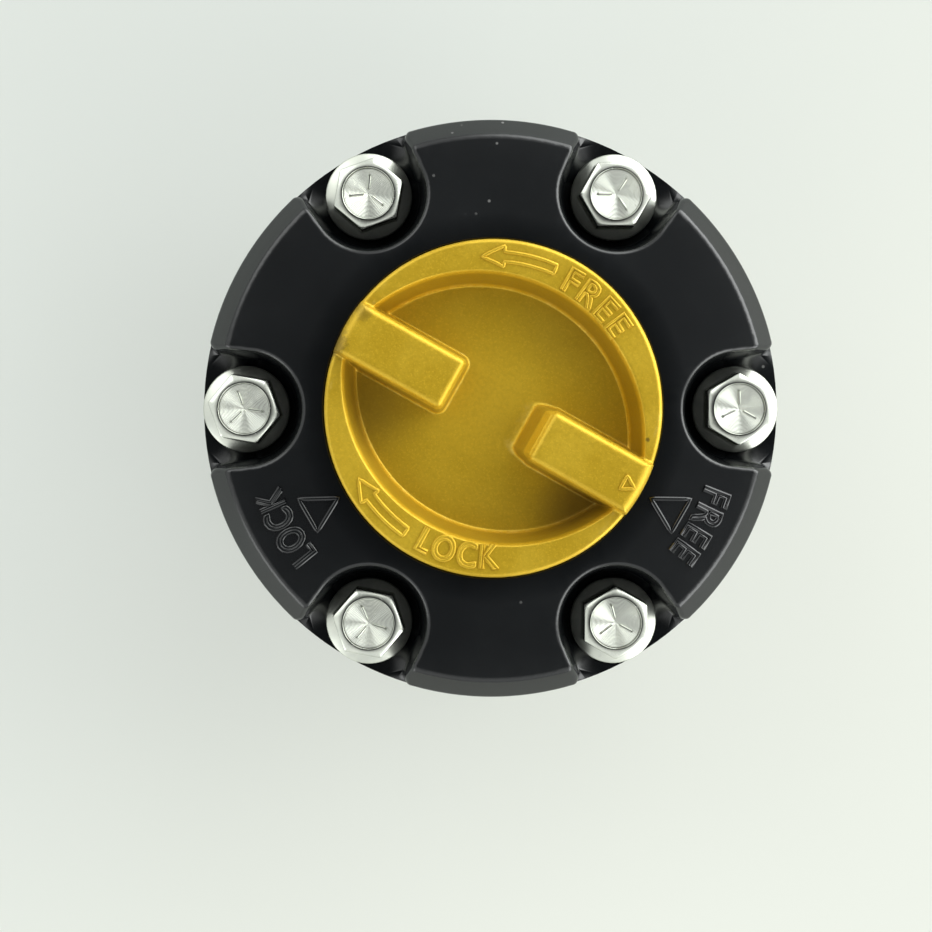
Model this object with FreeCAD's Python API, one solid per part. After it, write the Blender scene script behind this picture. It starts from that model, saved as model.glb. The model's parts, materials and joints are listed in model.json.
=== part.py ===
import math
import os
import FreeCAD
import Part
from FreeCAD import Vector

# A manual locking hub for a four-wheel-drive front axle. Millimetres and degrees.
# The origin is on the axis at the face that bolts to the wheel hub, +Z points out of the wheel.

# Flange, bolts and the stack between the wheel hub and the cover
flange_r = 55.0
bolt_count = 6
bolt_from_rim = 8.25
bolt_r = 4.0
thread_undersize = 0.2
bolt_length = 35.0
bolt_hole_clearance = 0.35
body_flange_t = 12.0
gasket_t = 0.5
cover_floor_t = 5.0

# Flange bolts: the turn of each hexagon, in the order of the bolts round the circle
hex_across_flats = 12.0
hex_turns = [30.0, 0.0, 20.0, -10.0, 49.0, 30.0]
head_h = 7.4
head_flange_r = 8.25
head_flange_t = 1.3
head_flange_round = 0.2
head_skirt_angle = 20.0
head_skirt_gap = 0.6
head_dish_r = 4.85
head_dish_depth = 0.9
head_dish_wall = 0.3
head_dish_rim = 0.35
head_chamfer_angle = 30.0
bolt_tip = 1.0

# Cover: six lobes between drafted notches, a chamfered rim and a low cone up to the knob
lobe_side_h = 4.7
lobe_side_draft = 0.25
ridge_from_rim = 3.8
ridge_h = 8.5
dome_top_h = 12.0
ridge_round = 2.2
shoulder_round = 1.2
notch_floor_r = 9.4
notch_draft = 9.0
notch_flare = 8.0
notch_edge_round = 1.0
lobe_corner_r = 2.2
lobe_corner_from_rim = 3.5
lobe_corner_turn = 78.0
web_t = 2.5
flange_edge = 0.5

# Control knob: ring, lens-shaped recess and two grips
knob_wall = 5.95
knob_proud = 2.0
knob_head_t = 11.0
knob_edge_round = 0.9
recess_depth = 7.0
recess_arc_short = 0.5
recess_arc_offset = 6.3
recess_wall_lean = 2.1
recess_turn = 62.0
grip_turn = 150.8
grip_proud = 3.0
grip_top_width = 10.0
grip_base_width = 11.8
grip_inner_r = 8.3
grip_lean = 0.9
grip_corner_r = 1.6
grip_edge_round = 1.1
grip_end_round = 2.2
boss_h = 3.0
boss_wall = 4.0
running_clearance = 0.05

# Cam sleeve, follower and the turn from free to lock
sleeve_from_knob_rim = 5.9
sleeve_wall = 4.0
sleeve_length = 17.5
cam_turn = 120.0
clutch_travel = 6.0
cam_groove_depth = 2.2
nail_r = 1.5
nail_side_clearance = 0.1
nail_start = 20.0
nail_drop = 8.5
leg_t = 1.65
leg_width_angle = 24.0
leg_above_nail = 1.8
follower_ring_t = 2.0
follower_play = 0.25
follower_ring_wall = 2.55
key_reach = 1.2
key_angle = 12.0
key_side_play = 1.0

# Knob seal, snap ring and detent
seal_section = 1.75
seal_groove_w = 2.2
seal_groove_above_base = 0.9
snap_t = 1.2
snap_groove_depth = 1.3
snap_ring_reach = 2.7
snap_gap_angle = 26.0
snap_eye_angle = 4.0
knob_snap_eye_r = 0.7
rear_snap_eye_r = 0.8
ball_r = 1.5
ball_sink = 0.9
ball_from_sleeve = 2.1
ball_turn = 62.0
ball_hole_depth = 5.5
pocket_tip_r = 0.3
pocket_extra_depth = 0.25
detent_wire_r = 0.25
detent_spring_turns = 5
detent_spring_steps = 8

# Clutch ring
tooth_count = 36
outer_tooth_h = 1.5
tooth_radial_gap = 0.15
clutch_length = 14.5
clutch_lip_t = 5.5
clutch_bore_gap = 3.0
clutch_wall = 6.0
clutch_lip_reach = 4.5
inner_tooth_h = 1.8
tooth_half_angle = 2.2
space_half_angle = 2.6
tooth_lean_angle = 0.6
keeper_t = 1.0
keeper_wall = 1.85
keeper_groove_depth = 1.0
free_gap = 0.5
clutch_wire_r = 0.85
clutch_spring_turns = 3
clutch_spring_steps = 24
wire_sides = 10

# Hub body and the inner hub on its bush
spigot_wall = 3.5
cavity_gap = 0.3
spigot_depth = 30.0
spigot_lead = 1.5
relief_depth = 0.5
relief_w = 1.0
inner_tooth_length = 10.0
journal_step = 3.0
bush_wall = 2.0
bush_length = 9.0
washer_t = 1.0
washer_reach = 2.5
rear_pocket_reach = 6.0
rear_pocket_depth = 3.0
rear_snap_t = 1.15
rear_snap_reach = 3.0
inner_hub_short = 0.3
axle_spline_count = 24
axle_wall = 8.0
axle_tooth_h = 1.3
axle_pocket_wall = 3.5
axle_pocket_depth = 2.5

# Heights that follow from the stack
cover_base_z = body_flange_t + gasket_t
floor_z = cover_base_z + cover_floor_t
dome_top_z = floor_z + dome_top_h
knob_top_z = dome_top_z + knob_proud
knob_base_z = knob_top_z - knob_head_t
recess_z = knob_top_z - recess_depth
grip_top_z = knob_top_z + grip_proud
shoulder_z = knob_base_z - running_clearance
web_z = shoulder_z - web_t
sleeve_end_z = knob_base_z - sleeve_length
nail_z = knob_base_z - nail_drop
inner_tooth_top_z = -spigot_depth + rear_pocket_depth + bush_length + washer_t + inner_tooth_length
clutch_z = inner_tooth_top_z + free_gap
clutch_top_z = clutch_z + clutch_length
lip_top_z = clutch_z + clutch_lip_t
bush_z = -spigot_depth + rear_pocket_depth
bush_top_z = bush_z + bush_length
rear_snap_z = bush_z - washer_t - running_clearance - rear_snap_t
keeper_z = lip_top_z + follower_ring_t + running_clearance

# Radii that follow from the flange, from the rim inwards
bolt_circle_r = flange_r - bolt_from_rim
ridge_r = flange_r - ridge_from_rim
knob_r = bolt_circle_r - notch_floor_r - knob_wall
recess_arc_r = knob_r - recess_arc_short
sleeve_r = knob_r - sleeve_from_knob_rim
ball_circle_r = sleeve_r + ball_from_sleeve
clutch_bore_r = sleeve_r + clutch_bore_gap
clutch_tooth_r = clutch_bore_r - clutch_lip_reach
body_spline_r = clutch_bore_r + clutch_wall
spigot_r = body_spline_r + spigot_wall
journal_r = clutch_tooth_r - journal_step
rear_pocket_r = journal_r + rear_pocket_reach
axle_minor_r = journal_r - axle_wall
axle_pocket_r = journal_r - axle_pocket_wall
cavity_r = body_spline_r + cavity_gap
knob_bore_r = knob_r + running_clearance
web_bore_r = sleeve_r + running_clearance
follower_bore_r = sleeve_r + follower_play
follower_ring_r = follower_bore_r + follower_ring_wall
ball_z = shoulder_z + ball_r - ball_sink
bolt_hole_r = bolt_r + bolt_hole_clearance
ridge_z = floor_z + ridge_h
over = 1.0


def at(radius, angle, z=0.0):
    """A point given by its radius, its angle in degrees and its height."""
    turn = math.radians(angle)
    return Vector(radius * math.cos(turn), radius * math.sin(turn), z)


def turned(shape, angle):
    """A copy of a shape, turned about the hub's axis."""
    copy = shape.copy()
    copy.rotate(Vector(0, 0, 0), Vector(0, 0, 1), angle)
    return copy


def disc(radius, low_z, high_z, centre=Vector(0, 0, 0)):
    return Part.makeCylinder(radius, high_z - low_z, Vector(centre.x, centre.y, low_z))


def ring(inner_r, outer_r, low_z, high_z):
    return disc(outer_r, low_z, high_z).cut(disc(inner_r, low_z - over, high_z + over))


def turned_profile(points):
    """The solid of a closed (radius, height) outline turned about the axis."""
    corners = [Vector(r, 0, z) for r, z in points]
    face = Part.Face(Part.makePolygon(corners + corners[:1]))
    return face.revolve(Vector(0, 0, 0), Vector(0, 0, 1), 360)


def circle_edges(shape, radius, z):
    """The circular edges about the axis at one radius and height."""
    found = []
    for edge in shape.Edges:
        curve = edge.Curve
        if not isinstance(curve, Part.Circle):
            continue
        if abs(curve.Radius - radius) < 1e-4 and abs(curve.Center.z - z) < 1e-4:
            found.append(edge)
    return found


def toothed(root_r, tip_r, low_z, high_z, count, half_angle, phase=0.0):
    """A solid prism with teeth that point outwards, the first one centred on the phase angle."""
    points = []
    for tooth in range(count):
        middle = phase + tooth * 360.0 / count
        points.append(at(root_r, middle - half_angle - tooth_lean_angle, low_z))
        points.append(at(tip_r, middle - half_angle + tooth_lean_angle, low_z))
        points.append(at(tip_r, middle + half_angle - tooth_lean_angle, low_z))
        points.append(at(root_r, middle + half_angle + tooth_lean_angle, low_z))
    face = Part.Face(Part.makePolygon(points + points[:1]))
    return face.extrude(Vector(0, 0, high_z - low_z))


def coil(mean_r, wire_r, low_z, high_z, turns, steps_per_turn):
    """A coil spring between two heights: many-sided wire along short straight steps round the coil."""
    steps = turns * steps_per_turn
    rise = (high_z - low_z - 2 * wire_r) / steps
    path = [at(mean_r, k * 360.0 / steps_per_turn, low_z + wire_r + k * rise) for k in range(steps + 1)]
    along = (path[1] - path[0]).normalize()
    across = Vector(1, 0, 0)
    upright = along.cross(across)
    corners = []
    for side in range(wire_sides):
        turn = 2 * math.pi * side / wire_sides
        corners.append(path[0] + across * (wire_r * math.cos(turn)) + upright * (wire_r * math.sin(turn)))
    section = Part.makePolygon(corners + corners[:1])
    return Part.Wire(Part.makePolygon(path)).makePipeShell([section], True, True, 1)


def wedge(angle, width, low_z, high_z):
    """A sector of the given width in degrees, wide enough for any ring."""
    reach = 2 * flange_r
    corners = [Vector(0, 0, low_z), at(reach, angle - width / 2, low_z), at(reach, angle + width / 2, low_z)]
    return Part.Face(Part.makePolygon(corners + corners[:1])).extrude(Vector(0, 0, high_z - low_z))


def split_ring(inner_r, outer_r, low_z, high_z, gap_angle, gap_at, ear_r=0.0):
    """A snap ring with a gap, and an eye for the pliers beside each end where ear_r is given."""
    body = ring(inner_r, outer_r, low_z, high_z)
    body = body.cut(wedge(gap_at, gap_angle, low_z - over, high_z + over))
    if ear_r:
        for side in (-1, 1):
            eye = at((inner_r + outer_r) / 2, gap_at + side * (gap_angle / 2 + snap_eye_angle))
            body = body.cut(disc(ear_r, low_z - over, high_z + over, eye))
    return body


def bolt_holes(low_z, high_z):
    step = 360.0 / bolt_count
    return [disc(bolt_hole_r, low_z, high_z, at(bolt_circle_r, i * step)) for i in range(bolt_count)]


def make_hub_body():
    """Flange and spigot in one casting, splined inside for the clutch ring."""
    outline = [
        (0, -spigot_depth), (spigot_r - spigot_lead, -spigot_depth),
        (spigot_r, -spigot_depth + spigot_lead), (spigot_r, relief_depth),
        (spigot_r + relief_w, relief_depth), (spigot_r + relief_w, 0),
        (flange_r - flange_edge, 0), (flange_r, flange_edge),
        (flange_r, body_flange_t - flange_edge), (flange_r - flange_edge, body_flange_t),
        (0, body_flange_t)]
    body = turned_profile(outline)
    splines = toothed(body_spline_r - outer_tooth_h, body_spline_r, bush_top_z, body_flange_t + over,
                      tooth_count, space_half_angle)
    bush_seat = disc(journal_r + bush_wall + running_clearance, bush_z - over, bush_top_z + over)
    rear_pocket = disc(rear_pocket_r, -spigot_depth - over, bush_z)
    return body.cut([splines, bush_seat, rear_pocket] + bolt_holes(-over, body_flange_t + over))


def make_gasket():
    gasket = ring(cavity_r, flange_r - flange_edge, body_flange_t, cover_base_z)
    return gasket.cut(bolt_holes(body_flange_t - over, cover_base_z + over))


def mirrored(point):
    return Vector(point.x, -point.y, point.z)


def notch_outline(radius, z):
    """A U round one bolt: a half circle, two walls that flare, and round corners at the rim."""
    lean = math.radians(notch_flare)
    turn = math.radians(lobe_corner_turn)
    side_x = bolt_circle_r - radius * math.sin(lean)
    side_y = radius * math.cos(lean)
    corner_x = flange_r - lobe_corner_from_rim
    corner_y = side_y + (corner_x - side_x) * math.tan(lean)
    centre = Vector(corner_x - lobe_corner_r * math.sin(lean), corner_y + lobe_corner_r * math.cos(lean), z)
    middle = centre + lobe_corner_r * Vector(math.sin((lean + turn) / 2), -math.cos((lean + turn) / 2), 0)
    end = centre + lobe_corner_r * Vector(math.sin(turn), -math.cos(turn), 0)
    far_x = flange_r + 4 * over
    far = Vector(far_x, end.y + (far_x - end.x) * math.tan(turn), z)
    near = Vector(bolt_circle_r - radius, 0, z)
    side = Vector(side_x, side_y, z)
    corner = Vector(corner_x, corner_y, z)
    edges = [Part.makeLine(mirrored(far), far), Part.makeLine(far, end),
             Part.Arc(end, middle, corner).toShape(), Part.makeLine(corner, side),
             Part.Arc(side, near, mirrored(side)).toShape(),
             Part.makeLine(mirrored(side), mirrored(corner)),
             Part.Arc(mirrored(corner), mirrored(middle), mirrored(end)).toShape(),
             Part.makeLine(mirrored(end), mirrored(far))]
    return Part.Wire(edges)


def make_notch():
    """The drafted space that one bolt stands in, open at the rim."""
    height = dome_top_h + over
    top_r = notch_floor_r + height * math.tan(math.radians(notch_draft))
    wires = [notch_outline(notch_floor_r, floor_z), notch_outline(top_r, floor_z + height)]
    return Part.makeLoft(wires, True, True)


def notch_rim_edges(cover):
    """The edges where a notch wall meets the top, the chamfer or the side of a lobe."""
    found = []
    for edge in cover.Edges:
        middle = edge.valueAt((edge.FirstParameter + edge.LastParameter) / 2)
        faces = cover.ancestorsOfType(edge, Part.Face)
        walls = [face for face in faces if is_notch_wall(face)]
        if len(walls) == 1 and middle.z > floor_z + 0.01:
            found.append(edge)
    return found


def is_notch_wall(face):
    """True for a wall of a notch: a ruled or flat face that leans by the draft angle."""
    box = face.BoundBox
    if box.ZMin < floor_z - 0.01 or box.ZMin > floor_z + 0.01 or box.ZLength < 1.0:
        return False
    u0, u1, v0, v1 = face.ParameterRange
    normal = face.normalAt((u0 + u1) / 2, (v0 + v1) / 2)
    middle = face.valueAt((u0 + u1) / 2, (v0 + v1) / 2)
    outward = Vector(middle.x, middle.y, 0).normalize()
    return abs(normal.z) < 0.5 and normal.dot(outward) < 0.95


def make_detent_track():
    """The groove that the ball runs in, with a deeper pocket at each end of the turn."""
    groove_r = ball_r + running_clearance
    centre = at(ball_circle_r, 0, ball_z)
    face = Part.Face(Part.Wire(Part.makeCircle(groove_r, centre, Vector(0, 1, 0))))
    track = face.revolve(Vector(0, 0, 0), Vector(0, 0, 1), cam_turn)
    track = turned(track, ball_turn - cam_turn)
    for stop in (ball_turn - cam_turn, ball_turn):
        seat = at(ball_circle_r, stop, ball_z)
        pocket_low = seat - Vector(0, 0, groove_r + pocket_extra_depth)
        pocket = Part.makeCone(pocket_tip_r, groove_r, groove_r, pocket_low)
        track = track.fuse([Part.makeSphere(groove_r, seat), pocket])
    return track


def make_cover():
    """Die-cast cover: six lobes, a notch for each bolt, the knob's bore and the web under it."""
    side_z = floor_z + lobe_side_h
    side_r = flange_r - lobe_side_draft
    outline = [
        (cavity_r, cover_base_z), (flange_r - flange_edge, cover_base_z),
        (flange_r, cover_base_z + flange_edge), (flange_r, floor_z - flange_edge),
        (side_r, side_z), (ridge_r, ridge_z), (knob_bore_r + flange_edge, dome_top_z),
        (knob_bore_r, dome_top_z - flange_edge), (knob_bore_r, shoulder_z),
        (web_bore_r, shoulder_z), (web_bore_r, web_z), (cavity_r, web_z)]
    cover = turned_profile(outline)
    cover = cover.makeFillet(ridge_round, circle_edges(cover, ridge_r, ridge_z))
    cover = cover.makeFillet(shoulder_round, circle_edges(cover, side_r, side_z))
    notch = make_notch()
    step = 360.0 / bolt_count
    cover = cover.cut([turned(notch, i * step) for i in range(bolt_count)])
    cover = cover.makeFillet(notch_edge_round, notch_rim_edges(cover))
    return cover.cut(bolt_holes(cover_base_z - over, floor_z + over) + [make_detent_track()])


def make_recess():
    """The space in the knob's face: two leaning round walls that cross where the grips are."""
    top_r = recess_arc_r
    base_r = recess_arc_r - recess_wall_lean
    slope = recess_wall_lean / recess_depth
    cones = []
    for side in (-1, 1):
        centre = at(recess_arc_offset * side, recess_turn, recess_z)
        cones.append(Part.makeCone(base_r, top_r + slope * over, recess_depth + over, centre))
    return cones[0].common(cones[1])


def rectangle(low_x, high_x, width, z):
    half = width / 2
    low_side = [Vector(low_x, -half, z), Vector(high_x, -half, z)]
    corners = low_side + [Vector(high_x, half, z), Vector(low_x, half, z)]
    return Part.makePolygon(corners + corners[:1])


def make_grip():
    """One drafted grip: round corners at its inner end, and its outer end rolled over the ring."""
    far_r = knob_r + 2 * over
    wires = [rectangle(grip_inner_r, far_r, grip_base_width, recess_z),
             rectangle(grip_inner_r + grip_lean, far_r, grip_top_width, grip_top_z)]
    bar = Part.makeLoft(wires, True, True)
    upright = [edge for edge in bar.Edges if edge.BoundBox.ZLength > 1]
    bar = bar.makeFillet(grip_corner_r, [edge for edge in upright if edge.BoundBox.XMax < far_r - over])
    rim = [edge for edge in bar.Edges if edge.BoundBox.ZMin > grip_top_z - 0.01]
    bar = bar.makeFillet(grip_edge_round, [edge for edge in rim if edge.BoundBox.XMin < far_r - over])
    envelope = disc(knob_r, recess_z, grip_top_z)
    envelope = envelope.makeFillet(grip_end_round, circle_edges(envelope, knob_r, grip_top_z))
    return bar.common(envelope)


def make_knob():
    """Knob head with its recess, grips, seal groove, detent hole and the boss for the cam sleeve."""
    head = disc(knob_r, knob_base_z, knob_top_z)
    head = head.makeFillet(knob_edge_round, circle_edges(head, knob_r, knob_top_z))
    boss = ring(sleeve_r - sleeve_wall - boss_wall, sleeve_r - sleeve_wall, knob_base_z - boss_h, knob_base_z)
    grips = [turned(make_grip(), grip_turn + side) for side in (0, 180)]
    knob = head.cut(make_recess()).fuse(grips + [boss])
    groove_z = knob_base_z + seal_groove_above_base
    groove = ring(knob_r - seal_section, knob_r + over, groove_z, groove_z + seal_groove_w)
    ball_hole = disc(ball_r + running_clearance, knob_base_z - over, knob_base_z + ball_hole_depth,
                     at(ball_circle_r, ball_turn))
    return knob.cut([groove, ball_hole]).removeSplitter()


def make_seal():
    section_r = seal_section / 2
    middle_z = knob_base_z + seal_groove_above_base + seal_groove_w / 2
    return Part.makeTorus(knob_r - section_r, section_r, Vector(0, 0, middle_z))


def make_cam_groove():
    """One helical groove: at the nail when free, and lower by the travel after the full turn."""
    half_h = nail_r + nail_side_clearance
    bottom_r = sleeve_r - cam_groove_depth
    helix = Part.makeHelix(clutch_travel * 360.0 / cam_turn, clutch_travel, sleeve_r, 0, True)
    start = helix.Edges[0].valueAt(helix.Edges[0].FirstParameter)
    corners = [Vector(bottom_r, 0, start.z - half_h), Vector(sleeve_r + over, 0, start.z - half_h),
               Vector(sleeve_r + over, 0, start.z + half_h), Vector(bottom_r, 0, start.z + half_h)]
    path = Part.Wire(helix.Edges)
    groove = path.makePipeShell([Part.makePolygon(corners + corners[:1])], True, True)
    ends = []
    for angle, z in ((0, 0), (-cam_turn, clutch_travel)):
        ends.append(Part.makeCylinder(half_h, cam_groove_depth + over, at(bottom_r, angle, z), at(1, angle)))
    return groove.fuse(ends)


def make_cam_sleeve():
    """Steel sleeve on the knob's boss, with two cam grooves outside and a snap ring groove."""
    sleeve = ring(sleeve_r - sleeve_wall, sleeve_r, sleeve_end_z, knob_base_z)
    grooves = []
    for side in (0, 180):
        groove = turned(make_cam_groove(), cam_turn + nail_start + side)
        groove.translate(Vector(0, 0, nail_z - clutch_travel))
        grooves.append(groove)
    snap_groove = ring(sleeve_r - snap_groove_depth, sleeve_r + over,
                       web_z - snap_t - 2 * running_clearance, web_z)
    return sleeve.cut(grooves + [snap_groove])


def make_knob_snap_ring():
    top_z = web_z - running_clearance
    inner_r = sleeve_r - snap_groove_depth + running_clearance
    return split_ring(inner_r, inner_r + snap_ring_reach + snap_groove_depth, top_z - snap_t, top_z,
                      snap_gap_angle, nail_start + 90, knob_snap_eye_r)


def make_detent_ball():
    return Part.makeSphere(ball_r, at(ball_circle_r, ball_turn, ball_z))


def make_detent_spring():
    low_z = ball_z + ball_r
    spring = coil(ball_r - 2 * detent_wire_r, detent_wire_r, low_z, knob_base_z + ball_hole_depth,
                  detent_spring_turns, detent_spring_steps)
    spring.translate(at(ball_circle_r, ball_turn))
    return spring


def make_follower():
    """Ring with two legs, each with a nail that rides in a cam groove, and two keys to the clutch."""
    low_z = lip_top_z
    body = ring(follower_bore_r, follower_ring_r, low_z, low_z + follower_ring_t)
    leg_top_z = nail_z + leg_above_nail
    for side in (0, 180):
        tube = ring(follower_bore_r, follower_bore_r + leg_t, low_z, leg_top_z)
        leg = tube.common(wedge(nail_start + side, leg_width_angle, low_z, leg_top_z))
        nail_tip = at(sleeve_r - cam_groove_depth + running_clearance, nail_start + side, nail_z)
        reach = follower_bore_r + leg_t / 2 - (sleeve_r - cam_groove_depth + running_clearance)
        nail = Part.makeCylinder(nail_r, reach, nail_tip, at(1, nail_start + side))
        plate = ring(follower_ring_r - leg_t, follower_ring_r + key_reach, low_z, low_z + follower_ring_t)
        key = plate.common(wedge(nail_start + 90 + side, key_angle, low_z, low_z + follower_ring_t))
        body = body.fuse([leg, nail, key])
    return body.removeSplitter()


def make_clutch():
    """Clutch ring: it slides in the body's splines, and its lower lip has teeth for the inner hub."""
    tip_r = body_spline_r - tooth_radial_gap
    outside = toothed(tip_r - outer_tooth_h, tip_r, clutch_z, clutch_top_z, tooth_count, tooth_half_angle)
    bore = disc(clutch_bore_r, lip_top_z, clutch_top_z + over)
    inner_teeth = toothed(clutch_tooth_r, clutch_tooth_r + inner_tooth_h, clutch_z - over, lip_top_z + over,
                          tooth_count, space_half_angle)
    keeper_groove = disc(clutch_bore_r + keeper_groove_depth, keeper_z - running_clearance,
                         keeper_z + keeper_t + running_clearance)
    slot_r = follower_ring_r + key_reach + 2 * running_clearance
    slot = ring(clutch_bore_r - over, slot_r, lip_top_z, clutch_top_z + over)
    slot_angle = key_angle + key_side_play
    key_slots = []
    for side in (0, 180):
        sector = wedge(nail_start + 90 + side, slot_angle, lip_top_z, clutch_top_z + over)
        key_slots.append(slot.common(sector))
    return outside.cut([bore, inner_teeth, keeper_groove] + key_slots)


def make_keeper():
    """The wire ring that holds the follower down on the clutch's lip."""
    outer_r = clutch_bore_r + keeper_groove_depth - 2 * running_clearance
    return split_ring(outer_r - keeper_wall, outer_r, keeper_z, keeper_z + keeper_t, snap_gap_angle,
                      nail_start + 90)


def make_clutch_spring():
    """The spring that pushes the clutch towards lock, between the cover's web and the clutch."""
    mean_r = (clutch_bore_r + body_spline_r - outer_tooth_h) / 2
    return coil(mean_r, clutch_wire_r, clutch_top_z, web_z, clutch_spring_turns, clutch_spring_steps)


def make_inner_hub():
    """Inner hub: outer teeth for the clutch, a journal in the bush and a splined bore for the axle."""
    low_z = -spigot_depth + inner_hub_short
    shoulder = bush_top_z + washer_t
    tip_r = clutch_tooth_r + inner_tooth_h - tooth_radial_gap
    teeth = toothed(tip_r - inner_tooth_h, tip_r, shoulder, inner_tooth_top_z, tooth_count, tooth_half_angle)
    journal = disc(journal_r, low_z, shoulder)
    bore = toothed(axle_minor_r, axle_minor_r + axle_tooth_h, low_z - over, inner_tooth_top_z + over,
                   axle_spline_count, space_half_angle * tooth_count / axle_spline_count)
    pocket = disc(axle_pocket_r, inner_tooth_top_z - axle_pocket_depth, inner_tooth_top_z + over)
    snap_groove = ring(journal_r - snap_groove_depth, journal_r + over, rear_snap_z - running_clearance,
                       rear_snap_z + rear_snap_t)
    return journal.fuse(teeth).cut([bore, pocket, snap_groove])


def make_bush():
    return ring(journal_r + running_clearance, journal_r + bush_wall + running_clearance, bush_z, bush_top_z)


def make_front_washer():
    outer_r = journal_r + bush_wall + washer_reach
    return ring(journal_r + 2 * running_clearance, outer_r, bush_top_z, bush_top_z + washer_t)


def make_rear_washer():
    outer_r = journal_r + bush_wall + washer_reach
    return ring(journal_r + 2 * running_clearance, outer_r, bush_z - washer_t, bush_z)


def make_rear_snap_ring():
    inner_r = journal_r - snap_groove_depth + running_clearance
    return split_ring(inner_r, journal_r + rear_snap_reach, rear_snap_z, rear_snap_z + rear_snap_t,
                      snap_gap_angle, 90, rear_snap_eye_r)


def make_bolt(index):
    """A flange bolt: shank, round flange, chamfered hexagon and a shallow dish in its top."""
    corner_r = hex_across_flats / 2 / math.cos(math.radians(30))
    corners = [at(corner_r, hex_turns[index] + k * 60) for k in range(6)]
    hexagon = Part.Face(Part.makePolygon(corners + corners[:1])).extrude(Vector(0, 0, head_h))
    flat_r = hex_across_flats / 2
    drop = (corner_r + over - flat_r) * math.tan(math.radians(head_chamfer_angle))
    crown = turned_profile([(0, 0), (corner_r + over, 0), (corner_r + over, head_h - drop),
                            (flat_r, head_h), (0, head_h)])
    skirt_r = flat_r + head_skirt_gap
    skirt_z = head_flange_t + (head_flange_r - skirt_r) * math.tan(math.radians(head_skirt_angle))
    skirt = turned_profile([(0, 0), (head_flange_r - head_flange_round, 0),
                            (head_flange_r, head_flange_round), (head_flange_r, head_flange_t),
                            (skirt_r, skirt_z), (0, skirt_z)])
    thread_r = bolt_r - thread_undersize
    shank = turned_profile([(0, head_flange_t), (bolt_r, head_flange_t),
                            (bolt_r, -floor_z), (thread_r, -floor_z),
                            (thread_r, bolt_tip - bolt_length), (thread_r - bolt_tip, -bolt_length),
                            (0, -bolt_length)])
    rim_r = head_dish_r - head_dish_wall
    dish = turned_profile([(0, head_h - head_dish_depth), (rim_r, head_h - head_dish_rim),
                           (head_dish_r, head_h), (head_dish_r, head_h + over), (0, head_h + over)])
    bolt = hexagon.common(crown).fuse([skirt, shank]).cut(dish)
    bolt.translate(at(bolt_circle_r, index * 360.0 / bolt_count, floor_z))
    return bolt


makers = {
    "hub_body": make_hub_body,
    "cover_gasket": make_gasket,
    "cover": make_cover,
    "control_knob": make_knob,
    "knob_seal": make_seal,
    "cam_sleeve": make_cam_sleeve,
    "knob_snap_ring": make_knob_snap_ring,
    "detent_ball": make_detent_ball,
    "detent_spring": make_detent_spring,
    "follower": make_follower,
    "clutch_ring": make_clutch,
    "follower_keeper": make_keeper,
    "clutch_spring": make_clutch_spring,
    "inner_hub": make_inner_hub,
    "inner_hub_bush": make_bush,
    "front_thrust_washer": make_front_washer,
    "rear_thrust_washer": make_rear_washer,
    "rear_snap_ring": make_rear_snap_ring,
}


def write_part(name, shape):
    print(name, "solids", len(shape.Solids), "valid", shape.isValid(), "volume", round(shape.Volume, 1))
    shape.exportStep("parts/" + name + ".step")


os.makedirs("parts", exist_ok=True)
for node, make in makers.items():
    write_part(node, make())
for number in range(bolt_count):
    write_part("flange_bolt_" + str(number + 1), make_bolt(number))
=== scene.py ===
import json
import math
import bmesh
import bpy
import numpy as np
from mathutils import Matrix, Vector


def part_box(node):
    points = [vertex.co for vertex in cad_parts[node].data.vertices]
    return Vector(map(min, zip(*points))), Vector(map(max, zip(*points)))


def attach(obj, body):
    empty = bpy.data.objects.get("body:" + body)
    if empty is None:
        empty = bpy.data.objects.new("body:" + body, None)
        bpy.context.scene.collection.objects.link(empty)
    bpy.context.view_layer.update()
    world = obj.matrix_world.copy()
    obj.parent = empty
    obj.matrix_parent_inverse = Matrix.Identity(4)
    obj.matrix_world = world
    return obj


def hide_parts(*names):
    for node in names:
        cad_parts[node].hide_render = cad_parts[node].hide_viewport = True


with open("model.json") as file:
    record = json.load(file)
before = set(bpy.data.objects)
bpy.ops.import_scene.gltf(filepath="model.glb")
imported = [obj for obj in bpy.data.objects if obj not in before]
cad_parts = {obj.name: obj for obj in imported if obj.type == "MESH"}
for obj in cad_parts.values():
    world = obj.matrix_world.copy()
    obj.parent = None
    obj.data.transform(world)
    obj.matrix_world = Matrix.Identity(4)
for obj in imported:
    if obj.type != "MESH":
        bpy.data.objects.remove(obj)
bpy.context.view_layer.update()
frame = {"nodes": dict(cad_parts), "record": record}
nodes = frame["nodes"]
bodyOf = {n: body for body, members in frame["record"]["behaviour"]["bodies"].items() for n in members}
mm = 0.001
print("frame loaded:", len(nodes), "nodes")

# Heights and radii of the hub that several pieces share, in millimetres
hub = {
    "boltCircleR": 46.75,
    "boltCount": 6,
    "notchFloorZ": 17.5,
    "knobR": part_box("control_knob")[1].x / mm,
    "gripTopZ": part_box("control_knob")[1].z / mm,
    "gripRise": 3.0,
    "domeTopZ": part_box("cover")[1].z / mm,
    "domeInnerR": 31.95,
    "ridgeR": 51.2,
    "ridgeZ": 26.0,
    "restZ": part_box("hub_body")[0].z / mm,
}
hub["knobTopZ"] = hub["gripTopZ"] - hub["gripRise"]


# Mesh helpers

meshing = {
    "weld": 2e-7, "skinWeld": 1e-7, "sharpAngle": 35.0, "coverSharp": 28.0, "skinSharp": 25.0, "knobSharp": 50.0,
    "boltSharp": 40.0, "markSharp": 60.0, "beadSides": 8, "beadEndReach": 0.7, "beadEndWidth": 0.25,
}


def polar(radius, angle, z):
    # points from radius, angle in radians and height, each an array or a number
    radius, angle, z = np.broadcast_arrays(radius, angle, z)
    return np.stack([radius * np.cos(angle), radius * np.sin(angle), z], axis=-1)


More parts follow.
